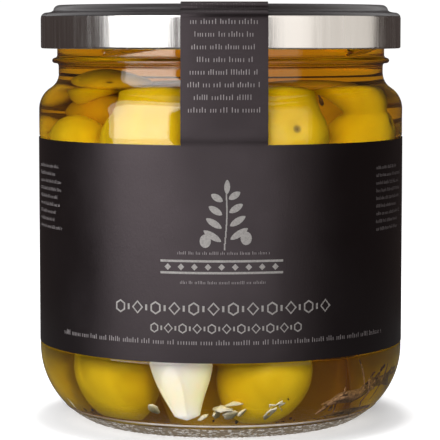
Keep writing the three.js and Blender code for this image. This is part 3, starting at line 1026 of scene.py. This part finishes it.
def needle(verts, faces, rng, base, aim, length, thick=0.5):
    """A bent needle that keeps inside the jar's wall and off its floor."""
    bend = Vector((rng.uniform(-1, 1), rng.uniform(-1, 1), rng.uniform(-1, 1))) * 0.12 * length
    points = [base + aim * length * t + bend * t * t for t in (0, 0.2, 0.4, 0.6, 0.8, 1.0)]
    for p in points:
        flat = hypot(p.x, p.y)
        most = HERB_WALL_REACH if p.z > HERB_HEEL_Z else HERB_HEEL_REACH
        if flat > most:
            p.x, p.y = p.x * most / flat, p.y * most / flat
        p.z = max(p.z, HERB_FLOOR_Z)
    tube(verts, faces, points, [thick * k for k in (0.5, 0.95, 1.0, 0.9, 0.6, 0.12)], 6)


def flake(verts, faces, rng, centre, size, thick):
    """An uneven thin chip with a raised middle."""
    turn = Euler((rng.uniform(-0.9, 0.9), rng.uniform(-0.9, 0.9), rng.uniform(0, 6.3))).to_matrix()
    count = 9
    outline = [size * rng.uniform(0.4, 1.2) for _ in range(count)]
    start = len(verts)
    for side in (1, -1):
        lift = Vector((0, 0, side * thick / 2))
        verts.append(tuple(centre + turn @ (lift + Vector((0, 0, 0.25 * size)))))
        for i, r in enumerate(outline):
            a = 2 * pi * i / count
            edge = Vector((r * cos(a), 0.7 * r * sin(a), 0))
            verts.append(tuple(centre + turn @ (lift * 0.6 + edge)))
    low = start + count + 1
    for i in range(count):
        j = (i + 1) % count
        faces.append((start, start + 1 + i, start + 1 + j))
        faces.append((low, low + 1 + j, low + 1 + i))
        faces.append((start + 1 + i, low + 1 + i, low + 1 + j, start + 1 + j))


def make_chips():
    """Pale chips of garlic that lie between the front olives, and a few round the back. The front ones sit
    where the heel shows white glimpses of the floor, and their pale colour also stands in there as painted
    glints.
    """
    rng = random.Random(33)
    verts, faces = [], []
    # The front chips are placed where the heel shows white glints, so that they also serve as painted
    # glints.
    for azimuth, reach, z, size in (
        (0.5, 35.4, 8.6, 3.0), (4.5, 35.8, 9.6, 2.4), (-1.5, 34.6, 7.6, 2.2), (3.0, 34.8, 7.2, 2.6),
        (7.5, 35.2, 7.8, 2.0), (19.0, 36.2, 8.6, 3.0), (20.5, 36.4, 10.2, 2.2), (17.0, 35.4, 7.4, 2.4),
        (-24.0, 35.4, 8.4, 1.8), (-6.0, 34.2, 6.9, 1.6), (-70.0, 34.0, 7.4, 1.6), (140.0, 34.0, 7.4, 1.7),
        (-140.0, 34.0, 7.2, 1.5),
    ):
        flake(verts, faces, rng, at(azimuth, reach, z), size, 0.6)
    # Pale cream garlic colour, which on the front chips also serves as painted glints.
    flesh = herb_material("garlic_chip", (0.88, 0.74, 0.48), (0.98, 0.92, 0.74), 0.4)
    return closed_object("garlic_chips_and_glints", verts, faces, flesh)


def make_spice():
    """Dark flakes: a few at the twig, the front olives and the neck, and the rest strewn on the floor."""
    rng = random.Random(47)
    verts, faces = [], []
    spots = [(60.5, 37.6, 13.6, 0.9), (63.0, 37.8, 12.4, 0.8), (66.5, 37.9, 14.4, 1.0)]
    spots += [(20.5, 36.2, 10.4, 0.8), (22.5, 37.4, 10.6, 0.7), (58.0, 37.0, 12.0, 0.6)]
    spots.append((35.5, 36.4, 75.2, 1.0))
    for _ in range(110):
        azimuth = rng.uniform(-180, 180) if rng.random() < 0.45 else rng.uniform(20, 95)
        reach = rng.uniform(20, 33.5)
        spots.append((azimuth, reach, rng.uniform(5.7, 7.0), rng.uniform(0.25, 0.7)))
    for azimuth, reach, z, size in spots:
        flake(verts, faces, rng, at(azimuth, reach, z), size, 0.4)
    dark = herb_material("spice_flake", (0.02, 0.010, 0.005), (0.16, 0.06, 0.02))
    return closed_object("spice_flakes", verts, faces, dark)


# ---- the stage ----


WHITE = (1, 1, 1, 1)
MIDDLE = (0, 0, 0.05)


def disc(name, rings, thick, z, material, ray):
    """A round plate of the stage that only one kind of ray sees."""
    profile = [(r, z) for r in rings] + [(rings[-1], z - thick), (0.0, z - thick)]
    plate = lathe(name, profile, 96, material)
    for kind in ("camera", "glossy", "transmission", "diffuse"):
        setattr(plate, "visible_" + kind, kind == ray)
    plate.visible_shadow = False
    return plate


def glow_material(name, grain_scale, low, high, **values):
    """A surface that glows in a colour between two, with fine grain."""
    g = Graph(name)
    glow = g.ramp(g.noise(grain_scale, 3.0), (0.3, low), (0.7, high))
    g.link(glow, g.bsdf.inputs["Emission Color"])
    g.set(**values)
    return g.material


def floor_material():
    """White, and glowing from a little outside the foot on, so that it stays white around the jar. The glow
    is painted light that fills the lamps' shadows there; just round the foot it is weaker, so that a shadow
    shows.
    """
    g = Graph("floor_white")
    grain = g.noise(30.0, 3.0)
    g.colour(g.ramp(grain, (0.3, (0.86, 0.86, 0.86)), (0.7, (0.89, 0.89, 0.89))))
    g.set(Roughness=0.6, Specular_IOR_Level=0.2, Emission_Color=WHITE)
    reach = g.add("ShaderNodeVectorMath", operation="LENGTH")
    g.link(g.coords, reach.inputs[0])
    # Painted light: the glow rises from 0.22 at 42 mm to full strength 54 mm from the axis, filling the
    # shadows further out.
    glow = g.ramp(reach.outputs["Value"], (0.042, 0.22), (0.048, 0.70), (0.054, 0.98), (0.38, 1.0))
    g.link(glow, g.bsdf.inputs["Emission Strength"])
    return g.material


def make_floor():
    """The pale table top that the camera sees, and darker plates that reflections and the glass see."""
    mirrored = glow_material(
        "floor_mirrored_white", 40.0, (0.86, 0.84, 0.82), (0.92, 0.90, 0.88),
        Base_Color=(0, 0, 0, 1), Roughness=1.0, Specular_IOR_Level=0.0, Emission_Strength=0.1,
    )
    under = glow_material(
        "floor_under_white", 60.0, (0.86, 0.80, 0.72), (0.95, 0.90, 0.82),
        Base_Color=(0.5, 0.48, 0.45, 1), Roughness=0.8, Emission_Strength=0.4,
    )
    rings = [0.0, 30.0, 60.0, 90.0, 140.0, 220.0, 340.0, 500.0, 700.0]
    floor = disc("floor", rings, 3.0, -0.02, floor_material(), "camera")
    disc("floor_mirrored", [0.0, 30.0, 60.0, 100.0, 150.0, 200.0], 0.2, -0.04, mirrored, "glossy")
    disc("floor_under_glass", [0.0, 12.0, 24.0, 34.0], 0.2, -0.03, under, "transmission")
    return floor


def area_light(name, place, aim, width, height, radiance, colour=(1, 1, 1)):
    """A rectangular light that looks as bright as radiance, and that the camera doesn't see."""
    light = bpy.data.lights.new(name, "AREA")
    light.shape = "RECTANGLE"
    light.size, light.size_y = width, height
    light.energy = radiance * pi * width * height
    light.color = colour
    lamp = in_scene(name, light)
    lamp.location = place
    lamp.rotation_euler = (Vector(aim) - Vector(place)).to_track_quat("-Z", "Y").to_euler()
    lamp.visible_camera = False
    return lamp


def side_light(name, azimuths, heights, distance, radiance, colour=(1, 1, 1)):
    """A flat softbox that spans the azimuths and the elevations given, seen from the middle of the jar."""
    middle, lift = radians(sum(azimuths) / 2), radians(sum(heights) / 2)
    width = 2 * distance * tan(radians((azimuths[1] - azimuths[0]) / 2))
    height = 2 * distance * tan(radians((heights[1] - heights[0]) / 2))
    flat = distance * cos(lift)
    place = (flat * sin(middle), -flat * cos(middle), MIDDLE[2] + distance * sin(lift))
    return area_light(name, place, MIDDLE, width, height, radiance, colour)


def only_for(lamp, *pieces):
    """Lets a light fall on these pieces and on nothing else."""
    group = bpy.data.collections.new(lamp.name + "_receivers")
    for piece in pieces:
        group.objects.link(piece)
    lamp.light_linking.receiver_collection = group


def make_lights(floor, lid_pieces, label_pieces, contents, glass):
    """Softboxes round the jar, some for single materials, and the light that comes up from the table."""
    side_light("softbox_left", (-73, -31), (-4, 50), 0.9, 2.8)
    side_light("softbox_right", (31, 57), (-10, 30), 0.9, 0.42, (1.0, 0.97, 0.93))
    front = side_light("softbox_front", (-13, 13), (8, 36), 1.2, 13.8)
    only_for(front, floor, lid_pieces[0], *contents)
    fill = side_light("label_fill", (-34, 34), (-14, 4), 1.2, 1.45)
    only_for(fill, *label_pieces)
    area_light("softbox_top", (0.0, 0.05, 1.3), (0, 0, 0), 1.4, 1.4, 0.6)
    lid_light = side_light("softbox_lid", (31, 112), (-24, 50), 0.85, 0.70, (1.0, 0.95, 0.88))
    only_for(lid_light, *lid_pieces)
    for name, azimuths in (("backdrop_left", (-150, -95)), ("backdrop_right", (95, 150))):
        only_for(side_light(name, azimuths, (0, 55), 0.9, 1.3), lid_pieces[1])
    bounce = side_light("table_bounce", (-75, 75), (-25, 5), 0.2, 2.1)
    under = area_light("table_glow", (0, 0, -0.12), (0, 0, 0), 0.4, 0.4, 0.9)
    clove_fill = side_light("clove_fill", (-45, 20), (-20, 2), 0.2, 9.0)
    only_for(clove_fill, contents[1])
    for lamp in (bounce, under):
        only_for(lamp, *contents, *glass)
    for lamp in (bounce, under, clove_fill):
        lamp.visible_glossy = False
        lamp.visible_transmission = False


# Surfaces of glass and oil that a view ray has crossed when it leaves the back of the filled jar.
SURFACES_THROUGH = 5
WORLD_DARK, WORLD_THROUGH, WORLD_SEEN = (0.048, 0.036, 0.033, 1), 0.56, 1.05


def make_world():
    """White where it is seen directly, grey right through the jar, and dark in every reflection."""
    world = bpy.data.worlds.new("studio")
    world.use_nodes = True
    nodes, links = world.node_tree.nodes, world.node_tree.links
    below = nodes["Background"]
    below.inputs["Color"].default_value = WORLD_DARK
    path = nodes.new("ShaderNodeLightPath")
    through = nodes.new("ShaderNodeMath")
    through.operation = "GREATER_THAN"
    through.inputs[1].default_value = SURFACES_THROUGH - 0.5
    links.new(path.outputs["Transmission Depth"], through.inputs[0])
    for ray, level in ((through.outputs[0], WORLD_THROUGH), (path.outputs["Is Camera Ray"], WORLD_SEEN)):
        pale = nodes.new("ShaderNodeBackground")
        pale.inputs["Color"].default_value = WHITE
        pale.inputs["Strength"].default_value = level
        mix = nodes.new("ShaderNodeMixShader")
        links.new(ray, mix.inputs[0])
        links.new(below.outputs[0], mix.inputs[1])
        links.new(pale.outputs[0], mix.inputs[2])
        below = mix
    links.new(below.outputs[0], nodes["World Output"].inputs["Surface"])
    bpy.context.scene.world = world


CAMERA_PLACE, CAMERA_DIP = (-0.00016, -0.5209, 0.09218), 4.965
CAMERA_LENS, CAMERA_SENSOR = 179.2, 36.0


def make_camera():
    data = bpy.data.cameras.new("camera")
    data.lens = CAMERA_LENS
    data.sensor_width = CAMERA_SENSOR
    data.clip_start, data.clip_end = 0.05, 50.0
    camera = in_scene("camera", data)
    camera.location = CAMERA_PLACE
    camera.rotation_euler = (radians(90 - CAMERA_DIP), 0, 0)
    bpy.context.scene.camera = camera


def setup_render():
    scene = bpy.context.scene
    scene.view_settings.view_transform = "Standard"
    scene.view_settings.look = "None"
    scene.cycles.max_bounces = 16
    scene.cycles.transmission_bounces = 12
    scene.cycles.transparent_max_bounces = 8
    scene.cycles.caustics_refractive = False
    scene.cycles.caustics_reflective = False
    scene.cycles.sample_clamp_indirect = 12.0


# ---- assembly ----

make_camera()
setup_render()
make_world()
floor = make_floor()

jar = make_glass()
oil = make_oil()
lid_shell, lid_coat = make_lid()
paper = make_label()
ink = make_print()
fine_ink = make_fine_print()
olives = make_olives()
clove = make_garlic()
rosemary = make_rosemary()
chips = make_chips()
spice = make_spice()

contents = (olives, clove, rosemary, chips, spice)
make_lights(floor, (lid_shell, lid_coat), (paper, ink, fine_ink), contents, (jar, oil))
# Light falls straight into the jar, so that the contents are lit without caustics.
for clear in (jar, oil):
    clear.visible_shadow = False

for piece, node, slot in (
    (jar, "glass_jar", "jar_glass"),
    (oil, "oil", "olive_oil"),
    (lid_shell, "lid", "lid_metal"),
    (lid_coat, "lid", "lid_lacquer"),
    (paper, "label", "label_paper"),
    (ink, "label", "label_print"),
    (fine_ink, "label", "label_print"),
    (olives, "olives", "olive_skin"),
    (clove, "garlic_clove", "garlic_flesh"),
    (rosemary, None, "dried_herb"),
    (chips, None, "garlic_flesh"),
    (spice, None, "dried_herb"),
):
    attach(piece, "root")
    if node:
        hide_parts(node)
